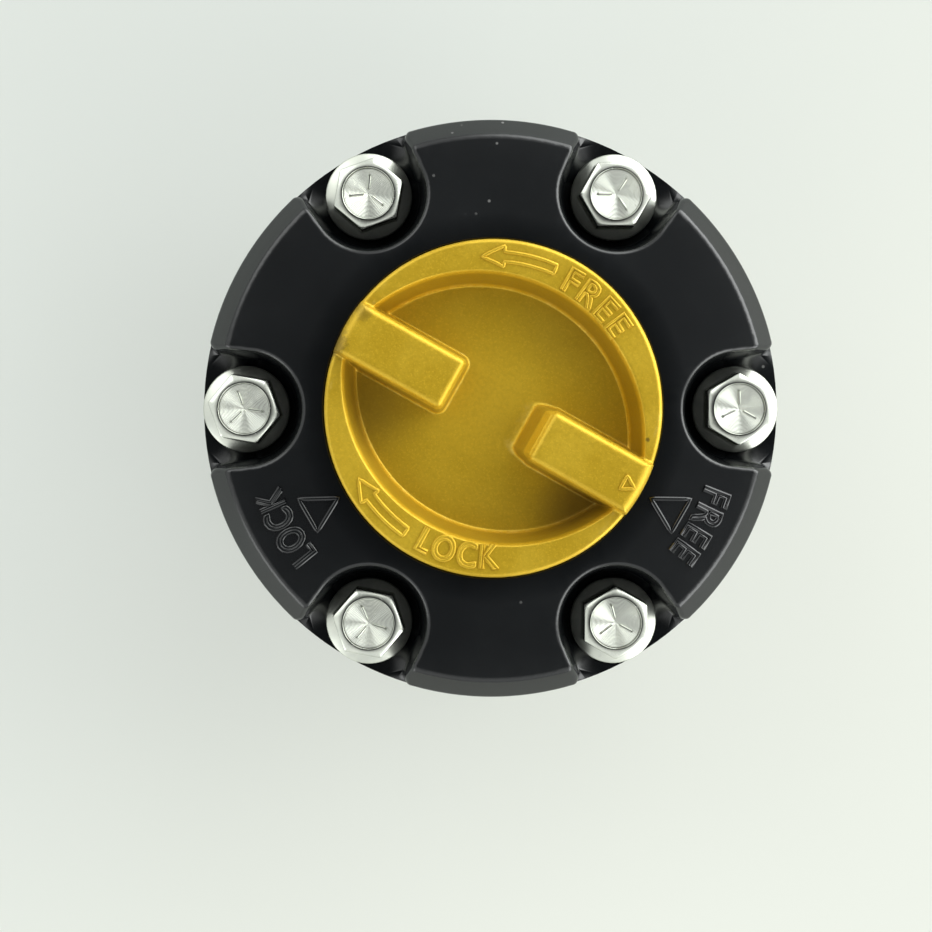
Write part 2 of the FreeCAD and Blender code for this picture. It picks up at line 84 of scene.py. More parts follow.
def gridFaces(rows, columns, wrapRows, wrapColumns, first):
    # quads between neighbouring rows and columns of a grid, as indices from first on
    i = np.arange(rows if wrapRows else rows - 1)[:, None]
    j = np.arange(columns if wrapColumns else columns - 1)[None, :]
    nextI = (i + 1) % rows
    nextJ = (j + 1) % columns
    quads = np.stack([i * columns + j, nextI * columns + j, nextI * columns + nextJ, i * columns + nextJ], axis=-1)
    return quads.reshape(-1, 4) + first


def meshOf(name, grids, sharpAngle=meshing["sharpAngle"]):
    # one mesh of several grids given as (points in mm, wrapRows, wrapColumns), welded, with normals outwards
    points, faces, first = [], [], 0
    for grid, wrapRows, wrapColumns in grids:
        rows, columns = grid.shape[:2]
        points.append(grid.reshape(-1, 3) * mm)
        faces.append(gridFaces(rows, columns, wrapRows, wrapColumns, first))
        first += rows * columns
    mesh = bpy.data.meshes.new(name)
    mesh.from_pydata(np.concatenate(points).tolist(), [], np.concatenate(faces).tolist())
    tidyMesh(mesh, sharpAngle, meshing["weld"])
    return mesh


def tidyMesh(mesh, sharpAngle, weld):
    # weld doubles, point the faces outwards, and keep an edge sharp where its faces turn more than the angle
    work = bmesh.new()
    work.from_mesh(mesh)
    bmesh.ops.remove_doubles(work, verts=work.verts, dist=weld)
    bmesh.ops.dissolve_degenerate(work, edges=work.edges, dist=weld)
    bmesh.ops.recalc_face_normals(work, faces=work.faces)
    work.to_mesh(mesh)
    work.free()
    mesh.polygons.foreach_set("use_smooth", np.ones(len(mesh.polygons), dtype=bool))
    mesh.set_sharp_from_angle(angle=math.radians(sharpAngle))
    mesh.update()


def addPiece(name, mesh, body, material, replaced=()):
    piece = bpy.data.objects.new(name, mesh)
    bpy.context.scene.collection.objects.link(piece)
    mesh.materials.clear()
    mesh.materials.append(material)
    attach(piece, body)
    if replaced:
        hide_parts(*replaced)
    return piece


def tube(path, radius, closed, sides=meshing["beadSides"]):
    # round bead along a path: centre + radius * (cos t * side + sin t * up), rounded at open ends
    path = np.asarray(path, float)
    ahead = np.roll(path, -1, axis=0) if closed else np.concatenate([path[1:], path[-1:] * 2 - path[-2:-1]])
    behind = np.roll(path, 1, axis=0) if closed else np.concatenate([path[:1] * 2 - path[1:2], path[:-1]])
    along = ahead - behind
    along /= np.linalg.norm(along, axis=1, keepdims=True)
    up = np.tile([0.0, 0.0, 1.0], (len(path), 1))
    side = np.cross(along, up)
    side /= np.linalg.norm(side, axis=1, keepdims=True)
    width = np.full(len(path), float(radius))
    if not closed:
        reach = radius * meshing["beadEndReach"]
        first, last = path[0] - along[0] * reach, path[-1] + along[-1] * reach
        path = np.concatenate([[first], path, [last]])
        side = np.concatenate([side[:1], side, side[-1:]])
        up = np.concatenate([up[:1], up, up[-1:]])
        tip = radius * meshing["beadEndWidth"]
        width = np.concatenate([[tip], width, [tip]])
    t = np.linspace(0, 2 * np.pi, sides, endpoint=False)
    ring = side[:, None] * np.cos(t)[None, :, None] + up[:, None] * np.sin(t)[None, :, None]
    return path[:, None] + ring * width[:, None, None], closed, True


def smoothSkin(node, name, material, sharpAngle=meshing["skinSharp"]):
    # a welded copy of a rigid piece's surface, shaded smooth between its true edges
    mesh = nodes[node].data.copy()
    mesh.name = name
    tidyMesh(mesh, sharpAngle, meshing["skinWeld"])
    piece = addPiece(name, mesh, bodyOf[node], material, [node])
    weighted = piece.modifiers.new("weightedNormals", "WEIGHTED_NORMAL")
    weighted.keep_sharp = True
    return piece


# Shader helpers

class Wire:
    # a shader socket that can be used in arithmetic
    def __init__(self, paint, socket):
        self.paint = paint
        self.socket = socket

    def join(self, operation, other, flip=False):
        first, second = (other, self) if flip else (self, other)
        return self.paint.node("ShaderNodeMath", {"operation": operation}, [first, second])

    def __add__(self, other):
        return self.join("ADD", other)

    def __sub__(self, other):
        return self.join("SUBTRACT", other)

    def __mul__(self, other):
        return self.join("MULTIPLY", other)

    def __radd__(self, other):
        return self.join("ADD", other, True)

    def __rsub__(self, other):
        return self.join("SUBTRACT", other, True)

    def above(self, low, high):
        # 0 below low, 1 above high, smooth between
        return self.paint.node("ShaderNodeMapRange", {"interpolation_type": "SMOOTHSTEP"},
                               {"Value": self, "From Min": low, "From Max": high})


class Nodes:
    # shader nodes under construction in one tree
    def __init__(self, tree):
        self.tree = tree

    def node(self, kind, settings, sockets, output=0):
        node = self.tree.nodes.new(kind)
        for key, value in settings.items():
            setattr(node, key, value)
        pairs = sockets.items() if isinstance(sockets, dict) else enumerate(sockets)
        for key, value in pairs:
            if isinstance(value, Wire):
                self.tree.links.new(value.socket, node.inputs[key])
            else:
                node.inputs[key].default_value = value
        return Wire(self, node.outputs[output])

    def place(self):
        return self.node("ShaderNodeTexCoord", {}, {}, "Object")

    def axis(self, place, letter):
        return self.node("ShaderNodeSeparateXYZ", {}, [place], letter)

    def noise(self, place, scale, detail=3.0, roughness=0.55):
        return self.node("ShaderNodeTexNoise", {}, {"Vector": place, "Scale": scale, "Detail": detail,
                                                    "Roughness": roughness}, "Fac")

    def cells(self, place, scale, output="Distance"):
        return self.node("ShaderNodeTexVoronoi", {}, {"Vector": place, "Scale": scale}, output)

    def blend(self, share, low, high):
        # a colour between two colours
        return self.node("ShaderNodeMix", {"data_type": "RGBA"}, {0: share, 6: low, 7: high}, 2)

    def length(self, place):
        return self.node("ShaderNodeVectorMath", {"operation": "LENGTH"}, [place], "Value")

    def flat(self, place, centre=(0.0, 0.0)):
        # the place seen from above, measured from a centre given in millimetres
        return self.node("ShaderNodeMapping", {"vector_type": "POINT"},
                         {"Vector": place, "Location": (-centre[0] * mm, -centre[1] * mm, 0.0),
                          "Scale": (1.0, 1.0, 0.0)})

    def spot(self, place, centre, near, far):
        # 1 within the near radius of a centre seen from above, 0 beyond the far one, in millimetres
        return 1.0 - self.length(self.flat(place, centre)).above(near * mm, far * mm)

    def bump(self, height, strength, distance):
        return self.node("ShaderNodeBump", {}, {"Height": height, "Strength": strength, "Distance": distance},
                         "Normal")


class Paint(Nodes):
    # a material under construction: its nodes, and the Principled shader that they feed
    def __init__(self, name, **constants):
        self.material = bpy.data.materials.new(name)
        self.material.use_nodes = True
        super().__init__(self.material.node_tree)
        self.shader = self.tree.nodes["Principled BSDF"]
        for socket, value in constants.items():
            self.shader.inputs[socket.replace("_", " ")].default_value = value

    def feed(self, **sockets):
        for key, value in sockets.items():
            socket = self.shader.inputs[key.replace("_", " ")]
            if isinstance(value, Wire):
                self.tree.links.new(value.socket, socket)
            else:
                socket.default_value = value
        return self.material


# Finishes

blackLook = {
    "colour": (0.0044, 0.0052, 0.0060, 1), "wornAndHighlight": (0.0066, 0.0076, 0.0085, 1), "dust": (0.26, 0.26, 0.25, 1),
    "specular": 0.62, "roughness": 0.165, "roughSpread": 0.07, "speckRough": 0.3, "markGloss": 0.10,
    "cloudScale": 45.0, "cloudStops": (0.4, 0.75), "dustShare": 0.55,
    "castScale": 900.0, "waveScale": 160.0, "waveShare": 2.0, "castDepth": 0.000010, "bumpStrength": 0.35,
    "speckScale": 260.0, "speckStops": (0.04, 0.10), "patchScale": 31.0, "patchStops": (0.6, 0.7),
}


def blackPaint(name="blackPaint", gloss=0.0):
    # satin black on a casting: a fine cast bump, uneven gloss and a few dust specks
    look = blackLook
    paint = Paint(name, Metallic=0.0, Specular_IOR_Level=look["specular"], Coat_Weight=0.0)
    place = paint.place()
    cloud = paint.noise(place, look["cloudScale"], 4.0)
    fine = paint.noise(place, look["castScale"], 3.0)
    wave = paint.noise(place, look["waveScale"], 2.0)
    patch = paint.noise(place, look["patchScale"], 2.0).above(*look["patchStops"])
    speck = (1.0 - paint.cells(place, look["speckScale"]).above(*look["speckStops"])) * patch
    base = paint.blend(cloud.above(*look["cloudStops"]), look["colour"], look["wornAndHighlight"])
    base = paint.blend(speck * look["dustShare"], base, look["dust"])
    rough = look["roughness"] - gloss + cloud * look["roughSpread"] + speck * look["speckRough"]
    normal = paint.bump(fine + wave * look["waveShare"], look["bumpStrength"], look["castDepth"])
    return paint.feed(Base_Color=base, Roughness=rough, Normal=normal)


# Heights are in millimetres from the top of the knob's ring; a place is (centre, near, far, share)
goldLook = {
    "colour": (0.62, 0.395, 0.015, 1), "pale": (0.75, 0.50, 0.032, 1), "recessShade": (0.66, 0.425, 0.016, 1),
    "glow": (0.90, 0.60, 0.040, 1), "fleck": (0.36, 0.215, 0.008, 1), "wall": (0.24, 0.150, 0.005, 1),
    "shade": (0.190, 0.110, 0.012, 1), "darkBlotch": (0.060, 0.038, 0.010, 1), "wornAndHighlight": (0.85, 0.62, 0.13, 1),
    "metallic": 0.5, "coat": 0.05, "coatRoughness": 0.25,
    "roughness": 0.36, "grainRough": 0.12, "flakeRough": 0.05,
    "cloudScale": 70.0, "cloudStops": (0.35, 0.7),
    "flakeScale": 4200.0, "flakeStops": (0.72, 1.0), "flakeShare": 0.3,
    "grainScale": 1300.0, "grainStops": (0.34, 0.6), "fleckShare": 0.12,
    "waveScale": 420.0, "waveShare": 1.5, "bumpStrength": 0.5, "castDepth": 0.000060,
    "recessStops": (-6.5, -0.4), "recessShadeShare": 0.55, "wallFoot": (-6.6, -5.6), "wallTop": (-1.6, -0.5),
    "wallShadeShare": 0.5, "highlightBreakScale": 260.0, "highlightBreakStops": (0.46, 0.66), "highlightShare": 0.5,
    "blotchScale": 650.0, "blotchStops": (0.62, 0.72), "blotchShare": 0.16, "darkSpotStops": (0.72, 0.95),
    "paintedLightAt": ((0.0, 2.0), 1.0, 15.0, 0.6),
    "shades": [((17.5, -19.5), 2.0, 13.0, 0.72), ((-24.0, 1.0), 2.0, 13.0, 0.45), ((15.0, 16.0), 2.0, 14.0, 0.15)],
    "darkSpots": [((-30.0, 12.0), 1.0, 6.5, 0.62), ((-24.0, 17.5), 0.4, 3.5, 0.4), ((28.6, -5.8), 0.1, 1.0, 0.7)],
}


def fromKnobTop(stops):
    return [(hub["knobTopZ"] + stop) * mm for stop in stops]


def goldPaint():
    # gold metallic paint on a casting: fine flake, a grainy cast surface, and painted shade that makes it darker in
    # the recess
    look = goldLook
    paint = Paint("goldPaint", Metallic=look["metallic"], Coat_Weight=look["coat"],
                  Coat_Roughness=look["coatRoughness"])
    place = paint.place()
    flake = paint.axis(paint.cells(place, look["flakeScale"], "Color"), "X")
    cloud = paint.noise(place, look["cloudScale"], 5.0, 0.6)
    grain = paint.noise(place, look["grainScale"], 3.0, 0.6)
    wave = paint.noise(place, look["waveScale"], 3.0)
    height = paint.axis(place, "Z")
    low = 1.0 - height.above(*fromKnobTop(look["recessStops"]))
    base = paint.blend(cloud.above(*look["cloudStops"]), look["colour"], look["pale"])
    # painted shade: a darker tone over the whole recess below the ring's top
    base = paint.blend(low * look["recessShadeShare"], base, look["recessShade"])
    # painted pool of light on the middle of the recess floor
    centre, near, far, share = look["paintedLightAt"]
    base = paint.blend(paint.spot(place, centre, near, far) * low * share, base, look["glow"])
    base = paint.blend((1.0 - grain.above(*look["grainStops"])) * look["fleckShare"], base, look["fleck"])
    base = paint.blend(flake.above(*look["flakeStops"]) * look["flakeShare"], base, look["glow"])
    # painted highlight: a lighter, broken line along the feet of the recess wall and the grips
    footHighlight = paint.node("ShaderNodeAttribute", {"attribute_name": "footHighlight"}, {}, "Fac")
    broken = paint.noise(place, look["highlightBreakScale"], 4.0, 0.7).above(*look["highlightBreakStops"])
    base = paint.blend(footHighlight * broken * look["highlightShare"], base, look["wornAndHighlight"])
    # painted shade on the recess walls: a darker band between each wall's foot and its top
    wall = height.above(*fromKnobTop(look["wallFoot"])) * (1.0 - height.above(*fromKnobTop(look["wallTop"])))
    base = paint.blend(wall * look["wallShadeShare"], base, look["wall"])
    for centre, near, far, share in look["shades"]:
        base = paint.blend(paint.spot(place, centre, near, far) * low * share, base, look["shade"])
    blotch = paint.noise(place, look["blotchScale"], 5.0, 0.75)
    base = paint.blend(blotch.above(*look["blotchStops"]) * look["blotchShare"], base, look["darkBlotch"])
    # darker blotchy spots at listed places on the knob
    for centre, near, far, share in look["darkSpots"]:
        spot = paint.spot(place, centre, near, far)
        base = paint.blend((spot * 0.5 + blotch).above(*look["darkSpotStops"]) * spot * share, base, look["darkBlotch"])
    rough = look["roughness"] + grain * look["grainRough"] + flake * look["flakeRough"]
    normal = paint.bump(grain + wave * look["waveShare"], look["bumpStrength"], look["castDepth"])
    return paint.feed(Base_Color=base, Roughness=rough, Normal=normal)


zincLook = {
    "colour": (0.60, 0.62, 0.56, 1), "pale": (0.70, 0.72, 0.64, 1), "scuffed": (0.45, 0.45, 0.43, 1),
    "cloudScale": 240.0, "cloudStops": (0.35, 0.7), "scuffScale": 900.0, "scuffStops": (0.6, 0.7),
    "scuffShare": 0.25, "roughness": 0.14, "cloudRough": 0.12, "scuffRough": 0.12, "flangeRough": 0.16,
    "flangeTop": (2.2, 2.8), "bumpScale": 700.0, "bumpStrength": 0.25, "bumpDepth": 0.00001,
}


def zincPlate():
    # bright plated steel: clear reflections, faintly uneven, with small scuffs, duller on the bolt's flange
    look = zincLook
    paint = Paint("zincPlate", Metallic=1.0)
    place = paint.place()
    cloud = paint.noise(place, look["cloudScale"], 3.0)
    scuff = paint.noise(place, look["scuffScale"], 5.0, 0.7).above(*look["scuffStops"])
    base = paint.blend(cloud.above(*look["cloudStops"]), look["colour"], look["pale"])
    base = paint.blend(scuff * look["scuffShare"], base, look["scuffed"])
    flange = 1.0 - paint.axis(place, "Z").above(*[(hub["notchFloorZ"] + z) * mm for z in look["flangeTop"]])
    rough = (look["roughness"] + cloud * look["cloudRough"] + scuff * look["scuffRough"]
             + flange * look["flangeRough"])
    normal = paint.bump(paint.noise(place, look["bumpScale"], 3.0), look["bumpStrength"], look["bumpDepth"])
    return paint.feed(Base_Color=base, Roughness=rough, Normal=normal)


steelLook = {
    "ringScale": 2300.0, "cloudScale": 60.0, "cloudStops": (0.35, 0.75), "oilShare": 0.7, "oilDarkness": 0.55,
    "latheRough": 0.12, "cloudRough": 0.08, "bumpStrength": 0.35, "bumpDepth": 0.00002,
}


def turnedSteel(name, colour, roughness):
    # machined metal: fine rings about the hub's axis, darker oily patches at random
    look = steelLook
    paint = Paint(name, Metallic=1.0)
    place = paint.place()
    radius = paint.length(paint.flat(place))
    along = radius * look["ringScale"] + paint.axis(place, "Z") * look["ringScale"]
    lathe = paint.node("ShaderNodeTexNoise", {"noise_dimensions": "1D"}, {"W": along, "Detail": 2.0}, "Fac")
    cloud = paint.noise(place, look["cloudScale"], 5.0)
    dark = tuple(c * look["oilDarkness"] for c in colour[:3]) + (1,)
    base = paint.blend(cloud.above(*look["cloudStops"]) * look["oilShare"], colour, dark)
    rough = roughness + lathe * look["latheRough"] + cloud * look["cloudRough"]
    return paint.feed(Base_Color=base, Roughness=rough,
                      Normal=paint.bump(lathe, look["bumpStrength"], look["bumpDepth"]))


fibreLook = {"scale": 1400.0, "stops": (0.4, 0.7), "lightness": 1.6, "rough": 0.1, "bumpStrength": 0.4,
             "bumpDepth": 0.00003}


def plainFibre(name, colour, roughness):
    # gasket fibre or rubber: matte with a fine uneven face
    look = fibreLook
    paint = Paint(name, Metallic=0.0)
    fibre = paint.noise(paint.place(), look["scale"], 4.0, 0.7)
    light = tuple(c * look["lightness"] for c in colour[:3]) + (1,)
    return paint.feed(Base_Color=paint.blend(fibre.above(*look["stops"]), colour, light),
                      Roughness=roughness + fibre * look["rough"],
                      Normal=paint.bump(fibre, look["bumpStrength"], look["bumpDepth"]))


finish = {
    "black_paint": blackPaint(),
    "mark_paint": blackPaint("markPaint", blackLook["markGloss"]),
    "gold_paint": goldPaint(),
    "zinc_plate": zincPlate(),
    "body_steel": turnedSteel("bodySteel", (0.34, 0.35, 0.36, 1), 0.34),
    "machined_steel": turnedSteel("machinedSteel", (0.52, 0.52, 0.51, 1), 0.26),
    "polished_steel": turnedSteel("polishedSteel", (0.68, 0.68, 0.68, 1), 0.08),
    "spring_steel": turnedSteel("springSteel", (0.15, 0.15, 0.16, 1), 0.38),
    "bronze": turnedSteel("bronze", (0.58, 0.37, 0.16, 1), 0.36),
    "seal_rubber": plainFibre("sealRubber", (0.018, 0.018, 0.018, 1), 0.75),
    "gasket": plainFibre("gasketFibre", (0.12, 0.125, 0.11, 1), 0.85),
}
for part in frame["record"]["subparts"]:
    slots = nodes[part["node"]].data.materials
    slots.clear()
    slots.append(finish[part["material_slot"]])
print("finishes made:", len(finish))


# Cover and knob

smoothSkin("cover", "coverShell", finish["black_paint"], meshing["coverSharp"])
for plainNode in ("hub_body", "cover_gasket", "inner_hub", "rear_snap_ring", "rear_thrust_washer"):
    nodeSlot = next(p["material_slot"] for p in frame["record"]["subparts"] if p["node"] == plainNode)
    smoothSkin(plainNode, plainNode + "Skin", finish[nodeSlot])
print("skins made")


# Control knob, as a height over the plane of its face; u runs along the grips and v across them.
# Of a pair, the first is the grip at u > 0

knob = {
    "radius": 31.4, "floorZ": 24.5, "ringH": 7.0, "gripH": 10.0, "turn": 150.8,
    "arcR": 30.9, "arcLean": 2.1, "arcOffset": 6.3, "arcTurn": 62.0, "arcEdge": 1.5, "arcFoot": 1.3,
    "gripHalf": 5.9, "gripStarts": (7.9, 6.9), "endLeans": (0.8, 3.1), "gripLean": 0.9, "cornerR": 1.8,
    "edgeR": 1.35, "footR": 0.55, "endR": 2.2, "ringEdgeR": 0.9,
    "noHighlight": 9.0, "highlightWidth": 0.28, "highlightFootH": 1.5, "highlightFall": 9.0, "gripHighlightOut": 0.25, "gripHighlightFall": 0.2,
    "zoneHalf": 6.6, "zoneEndsFrom": 22.0, "flatR": 30.3, "rimSteps": 19, "fanSteps": 220,
    "reachStops": [(0.245, 8), (0.325, 14), (0.352, 6), (0.435, 18), (0.93, 19), (1.0, 5)],
    "zoneStops": [(3.9, 6), (4.75, 8), (5.15, 9), (5.85, 6), (6.05, 5), (6.5, 6), (6.6, 1)],
    "footBand": (0.45, 0.4), "edgeBand": 0.45,
    "sideTopZ": 28.0, "grooveLowZ": 21.4, "grooveHighZ": 23.6, "grooveR": 29.65, "baseZ": 20.5, "baseRound": 0.2,
    "bossOuterR": 21.5, "bossInnerR": 17.5, "bossZ": 17.5,
}


def roundedMax(a, b, k):
    # the larger of two heights, blended where they differ by less than k
    return np.maximum(a, b) + np.maximum(k - np.abs(a - b), 0) ** 2 / (4 * k)


def quarter(x, radius):
    # drop of a quarter circle: 0 at x = 0, the radius at x = radius
    x = np.clip(x, 0, radius)
    return radius - np.sqrt(radius ** 2 - x ** 2)


def knobHeight(u, v):
    # height over the recess floor, and how near a point is to the feet of the recess wall and grips, where a
    # highlight is painted
    r = np.hypot(u, v)
    bowl = np.zeros_like(r)
    nearEdge = np.full_like(r, knob["noHighlight"])
    for side in (-1, 1):
        turn = math.radians(knob["arcTurn"] - knob["turn"])
        rho = np.hypot(u - side * knob["arcOffset"] * math.cos(turn), v - side * knob["arcOffset"] * math.sin(turn))
        wall = (rho - knob["arcR"] + knob["arcLean"]) / knob["arcLean"] * knob["ringH"]
        rise = roundedMax(wall, 0.0, knob["arcFoot"])
        rise = knob["ringH"] - roundedMax(knob["ringH"] - rise, 0.0, knob["arcEdge"])
        bowl = np.maximum(bowl, rise)
        nearFoot = np.abs(rho - knob["arcR"] + knob["arcLean"])
        nearFoot = nearFoot + np.maximum(rise - knob["highlightFootH"], 0) * knob["highlightFall"]
        nearEdge = np.minimum(nearEdge, nearFoot)
    bowl = np.minimum(bowl, knob["ringH"] - quarter(r - knob["radius"] + knob["ringEdgeR"], knob["ringEdgeR"]))
    # distance inwards from a grip's outline, a long bar with round inner corners
    across = np.abs(v) - knob["gripHalf"] + knob["cornerR"]
    start = np.where(u > 0, *knob["gripStarts"])
    lean = np.where(u > 0, *knob["endLeans"])
    past = np.abs(u) - start
    past = np.where(past < lean, past * knob["gripLean"] / lean, past - lean + knob["gripLean"])
    along = knob["cornerR"] - past
    outside = np.hypot(np.maximum(across, 0), np.maximum(along, 0)) + np.minimum(np.maximum(across, along), 0)
    inward = knob["cornerR"] - outside
    wallT = knob["gripLean"] * (1 - knob["edgeR"] / knob["gripH"])
    wallH = knob["gripH"] - knob["edgeR"] - knob["footR"]
    bar = np.where(inward < wallT, knob["footR"] + inward / wallT * wallH,
                   knob["gripH"] - quarter(wallT + knob["edgeR"] - inward, knob["edgeR"]))
    bar = np.where(inward < 0, -1.0, bar)
    bar = np.minimum(bar, knob["gripH"] - quarter(r - knob["radius"] + knob["endR"], knob["endR"]))
    meets = wallT * np.clip((bowl - knob["footR"]) / wallH, 0, 1)
    foot = quarter(inward - meets + knob["footR"], knob["footR"])
    nearEdge = np.where(inward > 0, knob["noHighlight"], nearEdge)
    nearEdge = np.minimum(nearEdge, np.abs(inward + knob["gripHighlightOut"]) + bowl * knob["gripHighlightFall"])
    return np.maximum(bowl + foot, bar), nearEdge


def span(*stops):
    # numbers through a list of (stop, steps to it) pairs
    values = [stops[0]]
    for stop, steps in stops[1:]:
        values += list(np.linspace(values[-1], stop, steps + 1)[1:])
    return np.array(values)


def arcReach(angle, radius, centreV, fromV):
    # how far a ray from (0, fromV) at the angle runs to a circle about (0, centreV)
    b = (fromV - centreV) * np.sin(angle)
    return -b + np.sqrt(b ** 2 - (fromV - centreV) ** 2 + radius ** 2)


def makeKnobGrids():
    # flat grids of (u, v) under the top face, and the rows of the side, groove, underside and boss
    zone = knob["zoneHalf"]
    angle = np.linspace(0, math.pi, knob["fanSteps"] + 1)
    footAt = arcReach(angle, knob["arcR"] - knob["arcLean"], -knob["arcOffset"], zone)
    edgeAt = arcReach(angle, knob["arcR"], -knob["arcOffset"], zone)
    rimAt = arcReach(angle, knob["flatR"], 0.0, zone)
    footIn, footOut = footAt - knob["footBand"][0], footAt + knob["footBand"][1]
    edgeIn, edgeOut = edgeAt - knob["edgeBand"], edgeAt + knob["edgeBand"]
    reach = [span(0.0, *knob["reachStops"])[:, None] * footIn]
    for low, high, steps in ((footIn, footOut, 9), (footOut, edgeIn, 5), (edgeIn, edgeOut, 12), (edgeOut, rimAt, 8)):
        reach.append(low + (high - low) * np.linspace(0, 1, steps + 1)[1:, None])
    reach = np.concatenate(reach)
    fan = np.stack([reach * np.cos(angle), zone + reach * np.sin(angle)], axis=-1)
    # the zone of the grips: rows along v, columns that fan's first and last rays meet
    half = span(0.0, *knob["zoneStops"])
    v = np.concatenate([-half[:0:-1], half])
    u = np.concatenate([-reach[:0:-1, 0], reach[:, 0]])
    rim = np.sqrt(knob["flatR"] ** 2 - v ** 2)
    near = np.clip((np.abs(u) - knob["zoneEndsFrom"]) / (reach[-1, 0] - knob["zoneEndsFrom"]), 0, 1)
    near = near * near * (3 - 2 * near)
    uu = u[:, None] + np.sign(u)[:, None] * near[:, None] * (rim - reach[-1, 0])[None, :]
    middle = np.stack([uu, np.broadcast_to(v, uu.shape)], axis=-1)
    # the loop round the rim: right end, upper fan, left end, lower fan
    loop = np.concatenate([middle[-1, :-1], fan[-1, :-1], middle[0, :0:-1], -fan[-1, :-1]])
    loopAngle = np.arctan2(loop[:, 1], loop[:, 0])
    out = np.sin(np.linspace(0, math.pi / 2, knob["rimSteps"]))
    ringR = knob["flatR"] + (knob["radius"] - knob["flatR"]) * out
    strip = np.stack([ringR[:, None] * np.cos(loopAngle), ringR[:, None] * np.sin(loopAngle)], axis=-1)
    radius, grooveR, outerR, innerR = knob["radius"], knob["grooveR"], knob["bossOuterR"], knob["bossInnerR"]
    baseZ, bossZ = knob["baseZ"], knob["bossZ"]
    profile = [(radius, knob["sideTopZ"]), (radius, knob["grooveHighZ"]), (grooveR, knob["grooveHighZ"]),
               (grooveR, knob["grooveLowZ"]), (radius, knob["grooveLowZ"]), (radius, baseZ + knob["baseRound"]),
               (radius - knob["baseRound"], baseZ), (outerR, baseZ), (outerR, bossZ), (innerR, bossZ),
               (innerR, baseZ), (0.0, baseZ)]
    topZ = knobHeight(strip[-1, :, 0], strip[-1, :, 1])[0] + knob["floorZ"]
    rows = [polar(radius, loopAngle, topZ)] + [polar(r, loopAngle, np.full_like(loopAngle, z)) for r, z in profile]
    return [middle, fan, -fan, strip], np.stack(rows)


def makeKnob():
    flats, under = makeKnobGrids()
    turn = math.radians(knob["turn"])
    grids = []
    for k, flat in enumerate(flats):
        z = knobHeight(flat[..., 0], flat[..., 1])[0]
        grids.append((np.concatenate([flat, (z + knob["floorZ"])[..., None]], axis=-1), False, k == 3))
    grids.append((under, False, True))
    turned = []
    for points, wrapRows, wrapColumns in grids:
        x = points[..., 0] * math.cos(turn) - points[..., 1] * math.sin(turn)
        y = points[..., 0] * math.sin(turn) + points[..., 1] * math.cos(turn)
        turned.append((np.stack([x, y, points[..., 2]], axis=-1), wrapRows, wrapColumns))
    mesh = meshOf("controlKnob", turned, meshing["knobSharp"])
    # painted highlight: 1 on the recess's foot line and round the grips' feet, falling to 0 in a third of a
    # millimetre
    co = np.zeros(len(mesh.vertices) * 3)
    mesh.vertices.foreach_get("co", co)
    co = co.reshape(-1, 3) / mm
    u = co[:, 0] * math.cos(turn) + co[:, 1] * math.sin(turn)
    v = co[:, 1] * math.cos(turn) - co[:, 0] * math.sin(turn)
    nearEdge = knobHeight(u, v)[1]
    onTop = co[:, 2] > knob["floorZ"] - 0.1
    footHighlight = np.exp(-(nearEdge / knob["highlightWidth"]) ** 2) * onTop
    attribute = mesh.attributes.new("footHighlight", "FLOAT", "POINT")
    attribute.data.foreach_set("value", footHighlight.astype(np.float32))
    addPiece("controlKnob", mesh, "knob", finish["gold_paint"], ["control_knob"])
    print("knob:", len(mesh.polygons), "faces")


makeKnob()


# Flange bolts

bolt = {
    "acrossFlats": 12.0, "headH": 7.4, "cornerRound": 0.35, "flangeR": 8.25, "flangeT": 1.3, "skirtSlope": 20.0,
    "chamferSlope": 19.0, "flatR": 5.05, "dishR": 4.75, "dishInnerR": 4.45, "dishDepth": 0.55, "dishRim": 0.32,
    "dishLip": 0.05, "ringPitch": 0.24, "ringH": 0.0255, "headFillet": 0.35,
    "shankR": 4.0, "threadR": 3.95, "threadDepth": 0.62, "pitch": 1.25, "threadLength": 17.4, "length": 35.0,
    "tipFlat": 0.5, "tipSlope": 1.1, "stepsPerTurn": 8, "crestGain": 1.25, "crestCut": 0.05, "fadeTurns": 2,
    "turns": [30.0, 0.0, 20.0, -10.0, 49.0, 30.0], "markFrom": 0.95, "markTo": 3.3, "markR": 0.31, "markSides": 10,
    "markAngles": [(92, 205, -30), (57, 180, -57), (85, 187, -38), (110, -8, 225), (112, -17, 230),
                   (105, -28, 215)],
}


def hexOutline(perSide=9, perCorner=3):
    # angle and radius of a hexagon with rounded corners: inner hexagon plus the corner radius along the normal
    inner = bolt["acrossFlats"] / 2 - bolt["cornerRound"]
    points = []
    for side in range(6):
        middle = math.radians(side * 60)
        start = middle - math.radians(30)
        corner = np.array([math.cos(start), math.sin(start)]) * inner / math.cos(math.radians(30))
        turn = middle - math.radians(60) + np.linspace(0, math.radians(60), perCorner + 1)
        points.append(corner + bolt["cornerRound"] * np.stack([np.cos(turn), np.sin(turn)], axis=-1))
        spread = middle + np.radians(np.linspace(-27, 27, perSide))
        along = (bolt["acrossFlats"] / 2) / np.cos(spread - middle)
        points.append(np.stack([np.cos(spread) * along, np.sin(spread) * along], axis=-1))
    outline = np.concatenate(points)
    angle = np.unwrap(np.arctan2(outline[:, 1], outline[:, 0]))
    order = np.argsort(angle)
    return angle[order], np.linalg.norm(outline, axis=1)[order]


def dishZ(radius):
    # height of the dish's cone at a radius
    edge = bolt["headH"] - bolt["dishRim"] - bolt["dishLip"]
    return edge - bolt["dishDepth"] * (1 - radius / bolt["dishInnerR"])


